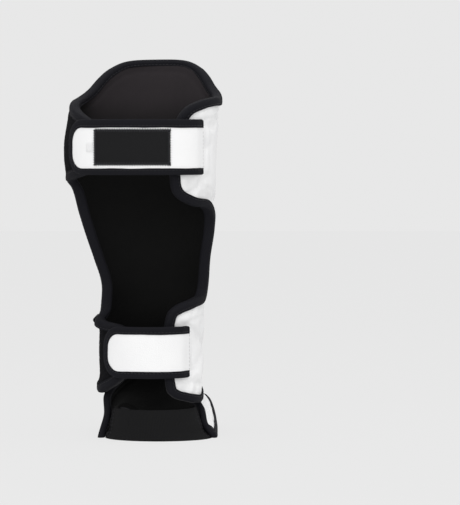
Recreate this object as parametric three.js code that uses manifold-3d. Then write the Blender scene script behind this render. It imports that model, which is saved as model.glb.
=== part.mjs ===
// A kickboxing shin guard for the lower leg, standing on its instep pad with both calf straps closed.
// Millimetres, +Z up, the toes towards +Y and the calf side towards -Y.
// The shell and the instep pad are each a thin lining, a crowned pad over it and an edge binding round
// both. The straps follow the leg behind the shell, and an elastic band joins the instep's rear corners.
import * as THREE from "three";
import { mergeVertices } from "three/addons/utils/BufferGeometryUtils.js";
import Module from "manifold-3d";

// The leg's axis at the ankle, measured from the middle of the footprint.
const LEG_AXIS_X = 9.72;
const LEG_AXIS_Y = -20.09;

// Walls and layers
const LINING_THICKNESS = 2;
const LAYER_GAP = 0.6;
const SHIN_EDGE_THICKNESS = 7; // pad at the binding
const INSTEP_EDGE_THICKNESS = 3;
const CROWN_WIDTH = 34; // over which a pad swells from its edge to its full thickness
const SHIN_FULL_THICKNESS = 24;
const WING_FULL_THICKNESS = 9.5;
const INSTEP_FULL_THICKNESS = 15;
const EAR_FULL_THICKNESS = 6.5; // the instep's side ears, down to the floor
const SHIN_HALF_ANGLE = 40; // degrees from the shin bone where the padding starts to thin
const WING_ANGLE = 88; // degrees from the shin bone where the wings have their own thickness

// Edge binding, as a bead over the edge of lining and pad
const BINDING_WIDTH = 8;
const BINDING_OVERHANG = 1.5;
const BINDING_PROUD = 1.2;
const BINDING_GAP = 2.6;
const BINDING_CHAMFER = 2.6;

// The leg's section at each height: the middle of the section, the half-width over the wings, and how
// far in front of the leg's axis the lining stands on the shin bone.
const LEG_SECTIONS = [
  { height: 36, middle: 0.5, halfWidth: 60, front: 43 },
  { height: 73, middle: -1.1, halfWidth: 58.2, front: 44 },
  { height: 107, middle: -1.9, halfWidth: 57.1, front: 46 },
  { height: 134, middle: -1.1, halfWidth: 58.6, front: 47.5 },
  { height: 146, middle: 0, halfWidth: 59.6, front: 48.4 },
  { height: 174, middle: 3.2, halfWidth: 61.8, front: 50 },
  { height: 203, middle: 0, halfWidth: 67.3, front: 51 },
  { height: 230, middle: -2.3, halfWidth: 73.8, front: 52 },
  { height: 254, middle: -4.8, halfWidth: 78.4, front: 53 },
  { height: 272, middle: -8.6, halfWidth: 79.2, front: 53.5 },
  { height: 298, middle: -13, halfWidth: 83.4, front: 54 },
  { height: 332, middle: -13, halfWidth: 84.2, front: 55.5 },
  { height: 358, middle: -10.5, halfWidth: 84.5, front: 57 },
  { height: 381, middle: -7, halfWidth: 87, front: 59.5 },
  { height: 434, middle: 3, halfWidth: 88, front: 66 },
];
const SECTION_DEPTH_RATIO = 0.92; // half-depth over half-width of the leg's section
// The lips of the left wings that curl away from the leg: where, how wide and tall, and by how much.
const WING_LIPS = [
  { angle: -108, height: 292, wide: 22, tall: 6, rise: 4.5 },
  { angle: -106, height: 134, wide: 24, tall: 7, rise: 10.5 },
  { angle: -98, height: 56, wide: 22, tall: 10, rise: 5.5 },
];

// The shell's outline: its two sides from the upper wings down to the lower ones, in degrees round the
// leg from the shin bone and in height.
const SHELL_SIDES = [
  { left: -141, leftHeight: 353, right: 143, rightHeight: 371 },
  { left: -147, leftHeight: 340, right: 149, rightHeight: 350 },
  { left: -147, leftHeight: 318, right: 151, rightHeight: 298 },
  { left: -139, leftHeight: 304, right: 148, rightHeight: 277 },
  { left: -122, leftHeight: 298, right: 132, rightHeight: 266 },
  { left: -104, leftHeight: 292, right: 112, rightHeight: 262 },
  { left: -97, leftHeight: 274, right: 99, rightHeight: 246 },
  { left: -96, leftHeight: 224, right: 97, rightHeight: 212 },
  { left: -96, leftHeight: 176, right: 97, rightHeight: 180 },
  { left: -99, leftHeight: 146, right: 103, rightHeight: 163 },
  { left: -116, leftHeight: 133, right: 126, rightHeight: 157 },
  { left: -141, leftHeight: 128, right: 149, rightHeight: 150 },
  { left: -154, leftHeight: 118, right: 159, rightHeight: 133 },
  { left: -154, leftHeight: 88, right: 159, rightHeight: 66 },
  { left: -143, leftHeight: 71, right: 152, rightHeight: 51 },
];
// The domed top edge and the arched bottom edge of the shell, from the left wing round to the right.
const SHELL_TOP = [
  { angle: -141, height: 353 },
  { angle: -128, height: 362 },
  { angle: -108, height: 371.5 },
  { angle: -88, height: 380 },
  { angle: -69, height: 386 },
  { angle: -55.5, height: 395 },
  { angle: -46.5, height: 408 },
  { angle: -37, height: 419 },
  { angle: -23, height: 427.6 },
  { angle: 0, height: 429.8 },
  { angle: 25, height: 428.6 },
  { angle: 41, height: 420.2 },
  { angle: 52, height: 410.3 },
  { angle: 63, height: 399.2 },
  { angle: 78, height: 391 },
  { angle: 94, height: 386 },
  { angle: 113, height: 384 },
  { angle: 130, height: 380 },
  { angle: 143, height: 371 },
];
const SHELL_BOTTOM = [
  { angle: -143, height: 71 },
  { angle: -120, height: 59 },
  { angle: -95, height: 53 },
  { angle: -62, height: 70 },
  { angle: -30, height: 86 },
  { angle: 0, height: 90.5 },
  { angle: 30, height: 78 },
  { angle: 62, height: 56 },
  { angle: 92, height: 43.5 },
  { angle: 112, height: 42 },
  { angle: 134, height: 45.5 },
  { angle: 152, height: 51 },
];
const SHELL_STEPS = { across: 26, down: 26, fade: 2.4 };

// The instep pad's surface, as three arches from its left ear to its right one: its rear edge under the
// shell, halfway, and at the toes, where its tip droops to the floor.
const INSTEP_REAR = [
  { x: -57, y: -14, z: -4.5 },
  { x: -48.5, y: -13, z: 25 },
  { x: -49.5, y: -7, z: 48.8 },
  { x: -31, y: 37, z: 68.5 },
  { x: 1, y: 53, z: 80 },
  { x: 31.5, y: 35, z: 59 },
  { x: 54.5, y: -4, z: 33 },
  { x: 58.6, y: -12.5, z: 12 },
  { x: 70, y: -14, z: -3 },
];
const INSTEP_MIDDLE = [
  { x: -51, y: 52, z: -2 },
  { x: -42, y: 56, z: 28 },
  { x: -30, y: 66, z: 37 },
  { x: -14, y: 78, z: 39 },
  { x: 6, y: 84, z: 40 },
  { x: 24, y: 76, z: 41 },
  { x: 40, y: 64, z: 41 },
  { x: 55, y: 54, z: 37 },
  { x: 74, y: 52, z: 3 },
];
const INSTEP_TOE = [
  { x: -46, y: 118, z: -1 },
  { x: -42, y: 123, z: 0 },
  { x: -31, y: 130, z: 0 },
  { x: -9, y: 136, z: -2.6 },
  { x: 16, y: 138, z: -3.2 },
  { x: 44, y: 136, z: -2.6 },
  { x: 70, y: 130, z: 2 },
  { x: 81, y: 123, z: 2 },
  { x: 87, y: 118, z: -1 },
];
// Its outline on a flat pattern of 100 along each half of the arch by 110 from rear to toe: a tongue
// with ears that stand on the floor.
const INSTEP_HALF_ARC = 100;
const INSTEP_LENGTH = 110;
const INSTEP_RIDGE_ARC = 25; // where the padding starts to thin towards the ears
const INSTEP_EAR_ARC = 75;
const INSTEP_OUTLINE = {
  rear: [
    { arc: -98.5, length: 3 },
    { arc: -88, length: 0.5 },
    { arc: -50, length: 0 },
    { arc: 0, length: 0 },
    { arc: 50, length: 0 },
    { arc: 88, length: 0.5 },
    { arc: 98.5, length: 3 },
  ],
  side: [
    { arc: 98.5, length: 3 },
    { arc: 99, length: 14 },
    { arc: 97.5, length: 30 },
  ],
  toe: [
    { arc: -97.5, length: 30 },
    { arc: -93, length: 48 },
    { arc: -83, length: 65 },
    { arc: -68, length: 80 },
    { arc: -50, length: 92.5 },
    { arc: -27, length: 102.5 },
    { arc: 0, length: 107 },
    { arc: 27, length: 102.5 },
    { arc: 50, length: 92.5 },
    { arc: 68, length: 80 },
    { arc: 83, length: 65 },
    { arc: 93, length: 48 },
    { arc: 97.5, length: 30 },
  ],
};
const INSTEP_STEPS = { across: 28, down: 7, fade: 1.3 };

// The calf straps: where they are sewn on, in degrees round the leg, and how they run
const STRAP_THICKNESS = 3;
const STRAP_BINDING_THICKNESS = 4.4;
const STRAP_BINDING_WIDTH = 8;
const UPPER_STRAP = {
  base: 127,
  length: 171,
  height: 330,
  halfHeight: 30.8,
  corner: 25,
  radius: 86,
  standOff: 16, // from the lining's face to the strap's inner face
};
const LOWER_STRAP = {
  base: 134.5,
  length: 104,
  height: 100,
  halfHeight: 29,
  corner: 24,
  radius: 58,
  standOff: 17,
};
const STRAP_STEPS = { straight: 12, corner: 5, high: 2 };

// The pile panels on the left wings that the straps fasten to, up to the binding
const PILE = { gap: 1, thickness: 1.2, along: 9, up: 8 };
const UPPER_PILE = [
  { angle: -135, low: 316, high: 346 },
  { angle: -120, low: 309, high: 356.5 },
  { angle: -102, low: 303, high: 364 },
  { angle: -84, low: 298, high: 372 },
];
const LOWER_PILE = [
  { angle: -142, low: 85, high: 116 },
  { angle: -128, low: 77, high: 119.5 },
  { angle: -110, low: 70, high: 121 },
  { angle: -86, low: 68, high: 130 },
];

// The woven patch on the upper strap, and the size tag beside it
const PATCH = { start: 44.5, length: 83.4, halfHeight: 19.5, thickness: 1.2 };
const TAG = { start: 130.4, length: 8.4, halfHeight: 5.1, thickness: 0.8 };

// The elastic band that passes under the foot, sewn inside the instep's rear corners
const ELASTIC = { height: 35, thickness: 2, sewnAt: -6, behind: -50, steps: 16 };
const ELASTIC_ROWS = [
  { z: ELASTIC.height, middle: 1.4, halfWidth: 45.4 },
  { z: 16, middle: 3.2, halfWidth: 50.8 },
  { z: 8, middle: 4.1, halfWidth: 52.7 },
  { z: 0, middle: 6.2, halfWidth: 59.6 },
];

// Colours and finishes
const WHITE_LEATHER = new THREE.MeshStandardMaterial({ color: 0xf1f1f0, roughness: 0.45, metalness: 0 });
const BLACK_LINING = new THREE.MeshStandardMaterial({ color: 0x161617, roughness: 0.9, metalness: 0 });
const BLACK_TAPE = new THREE.MeshStandardMaterial({ color: 0x1f1f23, roughness: 0.75, metalness: 0 });
const BLACK_ELASTIC = new THREE.MeshStandardMaterial({ color: 0x1d1d1f, roughness: 0.85, metalness: 0 });
const BLACK_PILE = new THREE.MeshStandardMaterial({ color: 0x1a1a1c, roughness: 0.95, metalness: 0 });
const BLACK_WOVEN = new THREE.MeshStandardMaterial({ color: 0x232326, roughness: 0.8, metalness: 0 });
const WHITE_TAG = new THREE.MeshStandardMaterial({ color: 0xe9e9ea, roughness: 0.6, metalness: 0 });

const wasm = await Module();
wasm.setup();

// A smooth function through one column of a table.
function column(rows, key, value) {
  const through = new THREE.CubicInterpolant(
    rows.map((row) => row[key]),
    rows.map((row) => row[value]),
    1,
    [0],
  );
  return (at) => through.evaluate(at)[0];
}

// The points of a smooth curve through table rows, count steps long.
function spline(rows, first, second, count) {
  const curve = new THREE.SplineCurve(rows.map((row) => new THREE.Vector2(row[first], row[second])));
  return curve.getPoints(count);
}

// A closed solid from a grid of points on its front face and a grid on its back face.
function wallGeometry(front, back) {
  const down = front.length;
  const across = front[0].length;
  const positions = [...front.flat(), ...back.flat()].flatMap((point) => point.toArray());
  const at = (side, j, i) => side * down * across + j * across + i;
  const index = [];
  const quad = (a, b, c, d) => index.push(a, b, c, a, c, d);
  for (let j = 0; j + 1 < down; j++) {
    for (let i = 0; i + 1 < across; i++) {
      quad(at(0, j, i), at(0, j + 1, i), at(0, j + 1, i + 1), at(0, j, i + 1));
      quad(at(1, j, i), at(1, j, i + 1), at(1, j + 1, i + 1), at(1, j + 1, i));
    }
  }
  for (let i = 0; i + 1 < across; i++) {
    quad(at(0, 0, i), at(0, 0, i + 1), at(1, 0, i + 1), at(1, 0, i));
    quad(at(0, down - 1, i), at(1, down - 1, i), at(1, down - 1, i + 1), at(0, down - 1, i + 1));
  }
  for (let j = 0; j + 1 < down; j++) {
    quad(at(0, j, 0), at(1, j, 0), at(1, j + 1, 0), at(0, j + 1, 0));
    quad(at(0, j, across - 1), at(0, j + 1, across - 1), at(1, j + 1, across - 1), at(1, j, across - 1));
  }
  return facingOut(positions, index);
}

// A section swept through rings of points, as a closed ring or with flat ends.
function sweptGeometry(rings, closed) {
  const sides = rings[0].length;
  const positions = rings.flat().flatMap((point) => point.toArray());
  const index = [];
  const spans = closed ? rings.length : rings.length - 1;
  for (let k = 0; k < spans; k++) {
    for (let i = 0; i < sides; i++) {
      const a = k * sides + i;
      const b = k * sides + ((i + 1) % sides);
      const c = ((k + 1) % rings.length) * sides + ((i + 1) % sides);
      const d = ((k + 1) % rings.length) * sides + i;
      index.push(a, b, c, a, c, d);
    }
  }
  if (!closed) {
    const last = (rings.length - 1) * sides;
    for (let i = 1; i + 1 < sides; i++) {
      index.push(0, i + 1, i, last, last + i, last + i + 1);
    }
  }
  return facingOut(positions, index);
}

// The geometry of these triangles, turned so that they face out.
function facingOut(positions, index) {
  const corner = (k) => new THREE.Vector3().fromArray(positions, 3 * index[k]);
  let volume = 0;
  for (let k = 0; k < index.length; k += 3) {
    volume += corner(k).dot(corner(k + 1).cross(corner(k + 2)));
  }
  const turned = volume < 0 ? index.slice().reverse() : index;
  return new THREE.BufferGeometry()
    .setAttribute("position", new THREE.Float32BufferAttribute(positions, 3))
    .setIndex(turned);
}

function solidOf(geometry) {
  const plain = geometry.clone();
  plain.deleteAttribute("normal");
  plain.deleteAttribute("uv");
  const merged = mergeVertices(plain);
  return new wasm.Manifold(
    new wasm.Mesh({
      numProp: 3,
      vertProperties: merged.attributes.position.array,
      triVerts: new Uint32Array(merged.index.array),
    }),
  );
}

// What of a geometry stands above the floor, cut flat where it rests.
function restedOnFloor(geometry) {
  const floorSize = 800;
  const floor = new THREE.BoxGeometry(floorSize, floorSize, floorSize).translate(0, 0, -floorSize / 2);
  const mesh = solidOf(geometry).subtract(solidOf(floor)).getMesh();
  return new THREE.BufferGeometry()
    .setAttribute("position", new THREE.BufferAttribute(mesh.vertProperties, 3))
    .setIndex(new THREE.BufferAttribute(mesh.triVerts, 1));
}

// The leg's surface, which the lining lies on

const sectionMiddle = column(LEG_SECTIONS, "height", "middle");
const sectionHalfWidth = column(LEG_SECTIONS, "height", "halfWidth");
const sectionFront = column(LEG_SECTIONS, "height", "front");
const WING_DEPTH = LINING_THICKNESS + LAYER_GAP + WING_FULL_THICKNESS;

// How far the left wings' lips curl away from the leg there.
function lipCurl(angle, height) {
  return WING_LIPS.reduce((total, lip) => {
    const away = ((angle - lip.angle) / lip.wide) ** 2 + ((height - lip.height) / lip.tall) ** 2;
    return total + lip.rise * Math.exp(-away);
  }, 0);
}

// A point at an angle round the leg and a height, that far outside the lining's inner face.
function legPoint(angle, height, depth) {
  const across = sectionHalfWidth(height) - WING_DEPTH;
  const along = across * SECTION_DEPTH_RATIO;
  const turn = THREE.MathUtils.degToRad(angle);
  const normal = new THREE.Vector3(Math.sin(turn) / across, Math.cos(turn) / along, 0).normalize();
  return new THREE.Vector3(
    sectionMiddle(height) + across * Math.sin(turn),
    sectionFront(height) - along + along * Math.cos(turn),
    height,
  ).addScaledVector(normal, depth + lipCurl(angle, height));
}

// The instep pad's surface through its three arches, on a flat pattern of arc by length

const vectors = (rows) => rows.map((row) => new THREE.Vector3(row.x, row.y, row.z));
const instepRear = new THREE.CatmullRomCurve3(vectors(INSTEP_REAR));
const instepMiddle = new THREE.CatmullRomCurve3(vectors(INSTEP_MIDDLE));
const instepToe = new THREE.CatmullRomCurve3(vectors(INSTEP_TOE));

function instepFace(arc, length) {
  const along = THREE.MathUtils.clamp((arc / INSTEP_HALF_ARC + 1) / 2, 0, 1);
  const toToe = length / INSTEP_LENGTH;
  return instepRear
    .getPoint(along)
    .multiplyScalar((1 - toToe) * (1 - 2 * toToe))
    .addScaledVector(instepMiddle.getPoint(along), 4 * toToe * (1 - toToe))
    .addScaledVector(instepToe.getPoint(along), toToe * (2 * toToe - 1));
}

function instepPoint(arc, length, depth) {
  const step = 0.5;
  const along = instepFace(arc + step, length).sub(instepFace(arc - step, length));
  const toToe = instepFace(arc, length + step).sub(instepFace(arc, length - step));
  const normal = toToe.cross(along).normalize().negate();
  return instepFace(arc, length).addScaledVector(normal, depth);
}

// Outlines on a surface's own two coordinates, as loops of points from the upper left corner

function outlineLoop(top, right, bottom, left) {
  const edges = [top, right, bottom.reverse(), left.reverse()];
  return edges.flatMap((edge) => edge.slice(0, -1));
}

// The same loop moved inwards along the surface.
function insetLoop(loop, surface, distance) {
  const step = 0.5;
  const inwards = distance * Math.sign(THREE.ShapeUtils.area(loop));
  return loop.map((here, k) => {
    const next = loop[(k + 1) % loop.length];
    const last = loop[(k + loop.length - 1) % loop.length];
    const run = surface(next.x, next.y, 0).sub(surface(last.x, last.y, 0));
    const alongX = surface(here.x + step, here.y, 0).sub(surface(here.x - step, here.y, 0));
    const alongY = surface(here.x, here.y + step, 0).sub(surface(here.x, here.y - step, 0));
    const move = alongX.clone().cross(alongY).cross(run).setLength(Math.abs(inwards));
    move.multiplyScalar(Math.sign(inwards));
    const skew = alongX.dot(alongY);
    const size = alongX.lengthSq() * alongY.lengthSq() - skew * skew;
    const moveX = (move.dot(alongX) * alongY.lengthSq() - move.dot(alongY) * skew) / size;
    const moveY = (move.dot(alongY) * alongX.lengthSq() - move.dot(alongX) * skew) / size;
    return new THREE.Vector2(here.x + 2 * step * moveX, here.y + 2 * step * moveY);
  });
}

// A grid of points that fills a loop: rows straight from side to side, bowed near its top and bottom.
function filledLoop(loop, steps) {
  const { across, down, fade } = steps;
  const top = (i) => loop[i];
  const right = (j) => loop[across + j];
  const bottom = (i) => loop[2 * across + down - i];
  const left = (j) => loop[(2 * across + 2 * down - j) % loop.length];
  const mix = (a, b, share) => new THREE.Vector2().lerpVectors(a, b, share);
  const grid = [];
  for (let j = 0; j <= down; j++) {
    const row = [];
    for (let i = 0; i <= across; i++) {
      const s = i / across;
      const t = j / down;
      const bowTop = top(i).clone().sub(mix(top(0), top(across), s));
      const bowBottom = bottom(i).clone().sub(mix(bottom(0), bottom(across), s));
      const point = mix(left(j), right(j), s);
      point.addScaledVector(bowTop, (1 - t) ** fade).addScaledVector(bowBottom, t ** fade);
      row.push(point);
    }
    grid.push(row);
  }
  return grid;
}

// A padded panel: the lining against the body, the pad over it, and the binding round their edge.
function paddedPanel(surface, outline, steps, edgeThickness, fullThickness) {
  const inner = insetLoop(outline, surface, BINDING_WIDTH + BINDING_GAP);
  const grid = filledLoop(inner, steps);
  const rim = inner.map((point) => surface(point.x, point.y, 0));
  const padDepth = LINING_THICKNESS + LAYER_GAP;
  const face = (depth) => grid.map((row) => row.map((point) => surface(point.x, point.y, depth)));
  const padFace = (point) => {
    const here = surface(point.x, point.y, 0);
    const toRim = Math.min(...rim.map((edge) => edge.distanceTo(here)));
    const swell = Math.sin((Math.min(toRim / CROWN_WIDTH, 1) * Math.PI) / 2);
    return padDepth + THREE.MathUtils.lerp(edgeThickness, fullThickness(point), swell);
  };
  const crowned = grid.map((row) => row.map((point) => surface(point.x, point.y, padFace(point))));
  const low = -BINDING_PROUD;
  const high = padDepth + edgeThickness + BINDING_PROUD;
  const section = [
    [-BINDING_OVERHANG, low + BINDING_CHAMFER],
    [-BINDING_OVERHANG, high - BINDING_CHAMFER],
    [BINDING_CHAMFER - BINDING_OVERHANG, high],
    [BINDING_WIDTH, high],
    [BINDING_WIDTH, low],
    [BINDING_CHAMFER - BINDING_OVERHANG, low],
  ];
  const rings = outline.map((point, k) => {
    const edge = surface(point.x, point.y, 0);
    const out = surface(point.x, point.y, 1).sub(edge);
    const inwards = rim[k].clone().sub(edge);
    inwards.addScaledVector(out, -inwards.dot(out)).normalize();
    return section.map(([b, n]) => edge.clone().addScaledVector(inwards, b).addScaledVector(out, n));
  });
  return {
    lining: wallGeometry(face(0), face(LINING_THICKNESS)),
    pad: wallGeometry(face(padDepth), crowned),
    binding: sweptGeometry(rings, true),
    padFace,
  };
}

function shinPanel() {
  const { across, down } = SHELL_STEPS;
  const outline = outlineLoop(
    spline(SHELL_TOP, "angle", "height", across),
    spline(SHELL_SIDES, "right", "rightHeight", down),
    spline(SHELL_BOTTOM, "angle", "height", across),
    spline(SHELL_SIDES, "left", "leftHeight", down),
  );
  const full = (point) => {
    const toWing = THREE.MathUtils.smoothstep(Math.abs(point.x), SHIN_HALF_ANGLE, WING_ANGLE);
    return THREE.MathUtils.lerp(SHIN_FULL_THICKNESS, WING_FULL_THICKNESS, toWing);
  };
  return paddedPanel(legPoint, outline, SHELL_STEPS, SHIN_EDGE_THICKNESS, full);
}

function instepPanel() {
  const { across, down } = INSTEP_STEPS;
  const { rear, side, toe } = INSTEP_OUTLINE;
  const otherSide = side.map(({ arc, length }) => ({ arc: -arc, length }));
  const outline = outlineLoop(
    spline(rear, "arc", "length", across),
    spline(side, "arc", "length", down),
    spline(toe, "arc", "length", across),
    spline(otherSide, "arc", "length", down),
  );
  const full = (point) => {
    const toEar = THREE.MathUtils.smoothstep(Math.abs(point.x), INSTEP_RIDGE_ARC, INSTEP_EAR_ARC);
    return THREE.MathUtils.lerp(INSTEP_FULL_THICKNESS, EAR_FULL_THICKNESS, toEar);
  };
  return paddedPanel(instepPoint, outline, INSTEP_STEPS, INSTEP_EDGE_THICKNESS, full);
}

// A panel of pile sewn flat on the shell's pad, over a range of heights at each angle.
function pilePanel(rows, padFace) {
  const low = column(rows, "angle", "low");
  const high = column(rows, "angle", "high");
  const first = rows[0].angle;
  const last = rows[rows.length - 1].angle;
  const shares = (count) => Array.from({ length: count + 1 }, (_, k) => k / count);
  const grid = (depth) =>
    shares(PILE.up).map((share) =>
      shares(PILE.along).map((along) => {
        const angle = THREE.MathUtils.lerp(first, last, along);
        const height = THREE.MathUtils.lerp(high(angle), low(angle), share);
        return legPoint(angle, height, padFace({ x: angle, y: height }) + PILE.gap + depth);
      }),
    );
  return wallGeometry(grid(0), grid(PILE.thickness));
}

// A strap sewn on at its base, running round behind the leg to a rounded tip

// A strap stands upright, and follows the leg's section at its middle.
function strapPoint(strap, along, up, depth) {
  const angle = strap.base + THREE.MathUtils.radToDeg(along / strap.radius);
  const point = legPoint(angle, strap.height, strap.standOff + depth);
  point.z += up;
  return point;
}

// Stations along a strap's upper edge: distance from the base and height above the middle.
function strapEdge(strap, inset) {
  const high = strap.halfHeight - inset;
  const round = strap.corner - inset;
  const straight = strap.length - strap.corner;
  const stations = [];
  for (let k = 0; k < STRAP_STEPS.straight; k++) {
    stations.push({ along: (straight * k) / STRAP_STEPS.straight, up: high });
  }
  for (let k = 0; k <= STRAP_STEPS.corner; k++) {
    const turn = ((Math.PI / 2) * k) / STRAP_STEPS.corner;
    stations.push({ along: straight + round * Math.sin(turn), up: high - round * (1 - Math.cos(turn)) });
  }
  return stations;
}

function strapCore(strap) {
  const stations = strapEdge(strap, STRAP_BINDING_WIDTH + BINDING_GAP);
  const grid = (depth) =>
    stations.map(({ along, up }) =>
      Array.from({ length: STRAP_STEPS.high + 1 }, (_, k) =>
        strapPoint(strap, along, up * (1 - (2 * k) / STRAP_STEPS.high), depth),
      ),
    );
  return wallGeometry(grid(0), grid(STRAP_THICKNESS));
}

function strapBinding(strap) {
  const mirrored = (stations) => stations.map(({ along, up }) => ({ along, up: -up })).reverse();
  const path = (inset) => [...strapEdge(strap, inset), ...mirrored(strapEdge(strap, inset))];
  const outer = path(0);
  const inner = path(STRAP_BINDING_WIDTH);
  const proud = (STRAP_BINDING_THICKNESS - STRAP_THICKNESS) / 2;
  const rings = outer.map((edge, k) => [
    strapPoint(strap, edge.along, edge.up, -proud),
    strapPoint(strap, edge.along, edge.up, STRAP_THICKNESS + proud),
    strapPoint(strap, inner[k].along, inner[k].up, STRAP_THICKNESS + proud),
    strapPoint(strap, inner[k].along, inner[k].up, -proud),
  ]);
  return sweptGeometry(rings, false);
}

// A small rectangle of cloth sewn flat on a strap's face.
function strapLabel(strap, label) {
  const steps = 8;
  const grid = (depth) =>
    Array.from({ length: steps + 1 }, (_, k) =>
      [label.halfHeight, -label.halfHeight].map((up) =>
        strapPoint(strap, label.start + (label.length * k) / steps, up, depth),
      ),
    );
  const face = STRAP_THICKNESS + LAYER_GAP;
  return wallGeometry(grid(face), grid(face + label.thickness));
}

function elasticBand() {
  const { sewnAt, behind, steps, thickness } = ELASTIC;
  const grid = (depth) =>
    Array.from({ length: steps + 1 }, (_, k) => {
      const turn = Math.PI * (k / steps - 0.5);
      const y = sewnAt + (behind + depth - sewnAt) * Math.cos(turn);
      return ELASTIC_ROWS.map(
        ({ z, middle, halfWidth }) => new THREE.Vector3(middle + (halfWidth - depth) * Math.sin(turn), y, z),
      );
    });
  return wallGeometry(grid(0), grid(thickness));
}

function piece(name, geometry, material) {
  const mesh = new THREE.Mesh(geometry, material);
  mesh.name = name;
  return mesh;
}

const guard = new THREE.Group();
guard.position.set(LEG_AXIS_X, LEG_AXIS_Y, 0);

const shell = shinPanel();
guard.add(
  piece("shin_pad", shell.pad, WHITE_LEATHER),
  piece("shin_lining", shell.lining, BLACK_LINING),
  piece("shin_binding", shell.binding, BLACK_TAPE),
);

guard.add(
  piece("upper_pile", pilePanel(UPPER_PILE, shell.padFace), BLACK_PILE),
  piece("lower_pile", pilePanel(LOWER_PILE, shell.padFace), BLACK_PILE),
);

const instep = instepPanel();
guard.add(
  piece("instep_pad", restedOnFloor(instep.pad), WHITE_LEATHER),
  piece("instep_lining", restedOnFloor(instep.lining), BLACK_LINING),
  piece("instep_binding", restedOnFloor(instep.binding), BLACK_TAPE),
);

guard.add(
  piece("upper_strap", strapCore(UPPER_STRAP), WHITE_LEATHER),
  piece("upper_strap_binding", strapBinding(UPPER_STRAP), BLACK_TAPE),
  piece("strap_patch", strapLabel(UPPER_STRAP, PATCH), BLACK_WOVEN),
  piece("size_tag", strapLabel(UPPER_STRAP, TAG), WHITE_TAG),
  piece("lower_strap", strapCore(LOWER_STRAP), WHITE_LEATHER),
  piece("lower_strap_binding", strapBinding(LOWER_STRAP), BLACK_TAPE),
  piece("foot_elastic", elasticBand(), BLACK_ELASTIC),
);

const root = new THREE.Group();
root.add(guard);

export default root;
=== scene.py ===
"""A kickboxing shin guard, standing on its instep pad with both calf straps closed.

Each soft piece is cut flat from a grid, as its maker cuts it, and then wrapped on the form of the leg or
the foot. The guard's sizes are in millimetres, its angles in degrees round the leg from the shin bone.
"""

import math

import bpy
import numpy as np
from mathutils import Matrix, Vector


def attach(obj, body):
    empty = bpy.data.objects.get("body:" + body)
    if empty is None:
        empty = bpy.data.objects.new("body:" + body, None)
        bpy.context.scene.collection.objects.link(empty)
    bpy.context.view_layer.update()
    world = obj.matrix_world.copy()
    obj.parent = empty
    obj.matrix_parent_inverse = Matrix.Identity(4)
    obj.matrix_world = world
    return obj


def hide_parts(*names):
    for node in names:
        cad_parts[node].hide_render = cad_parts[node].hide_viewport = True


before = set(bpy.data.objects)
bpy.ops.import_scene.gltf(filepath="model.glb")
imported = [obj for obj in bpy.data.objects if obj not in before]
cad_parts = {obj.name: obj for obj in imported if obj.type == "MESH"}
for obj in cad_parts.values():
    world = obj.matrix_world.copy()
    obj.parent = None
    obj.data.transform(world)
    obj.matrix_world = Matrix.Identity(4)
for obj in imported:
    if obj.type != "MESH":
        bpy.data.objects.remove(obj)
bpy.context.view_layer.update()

# Studio: a pale seamless floor under an even white surround, one broad soft light overhead and one on
# each side of the camera. The camera stands on the calf side, level with the upper strap and tipped
# slightly down, with the guard left of the middle of its picture.
MM = 0.001
SURROUND = (0.806, 0.806, 0.806)
FLOOR_SIZE = 14.0
FLOOR_PAINT = 0.06
FLOOR_LIT = 1.3  # the light that falls on the floor, for each unit of the surround's
CAMERA_PLACE = Vector((98.33, -3020.04, 335.0)) * MM
CAMERA_TIP = 2.383
CAMERA_REACH = 30.0
# The picture's height and the camera's focal length, in pixels.
PICTURE_HEIGHT = 505
PICTURE_FOCUS = 2640.8
# The lights, and the middle of the guard that they point at, in metres.
LIGHTS = {
    "overhead": {"place": (0.05, -0.45, 1.75), "size": 1.5, "power": 11.0},
    "left_of_camera": {"place": (-1.1, -2.6, 1.2), "size": 1.4, "power": 13.0},
    "right_of_camera": {"place": (1.0, -2.7, 1.2), "size": 1.4, "power": 12.0},
}
GUARD_MIDDLE = Vector((0.0, 0.0, 0.22))

scene = bpy.context.scene
scene.view_settings.view_transform = "Standard"

bpy.ops.object.select_all(action="DESELECT")
bpy.ops.mesh.primitive_plane_add(size=FLOOR_SIZE, location=(0, 0, 0))
floor = bpy.context.object
floor.name = "studio_floor"
floor_finish = bpy.data.materials.new("studio_floor")
floor_finish.use_nodes = True
floor_shader = floor_finish.node_tree.nodes["Principled BSDF"]
floor_shader.inputs["Base Color"].default_value = (FLOOR_PAINT, FLOOR_PAINT, FLOOR_PAINT, 1)
floor_shader.inputs["Roughness"].default_value = 1.0
floor_shader.inputs["Specular IOR Level"].default_value = 0.0
floor_shader.inputs["Emission Color"].default_value = (*SURROUND, 1)
floor_shader.inputs["Emission Strength"].default_value = 1.0 - FLOOR_LIT * FLOOR_PAINT
floor.data.materials.append(floor_finish)

surround = bpy.data.worlds.new("studio_surround")
surround.use_nodes = True
surround.node_tree.nodes["Background"].inputs["Color"].default_value = (*SURROUND, 1)
scene.world = surround

for light_name, light in LIGHTS.items():
    place = Vector(light["place"])
    turn = (GUARD_MIDDLE - place).to_track_quat("-Z", "Y").to_euler()
    bpy.ops.object.light_add(type="AREA", location=place, rotation=turn)
    lamp = bpy.context.object
    lamp.name = light_name
    lamp.data.size = light["size"]
    lamp.data.energy = light["power"]

bpy.ops.object.camera_add(location=CAMERA_PLACE, rotation=(math.radians(90 - CAMERA_TIP), 0, 0))
camera = bpy.context.object
camera.data.lens = PICTURE_FOCUS / PICTURE_HEIGHT * camera.data.sensor_width
camera.data.clip_end = CAMERA_REACH
scene.camera = camera

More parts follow.
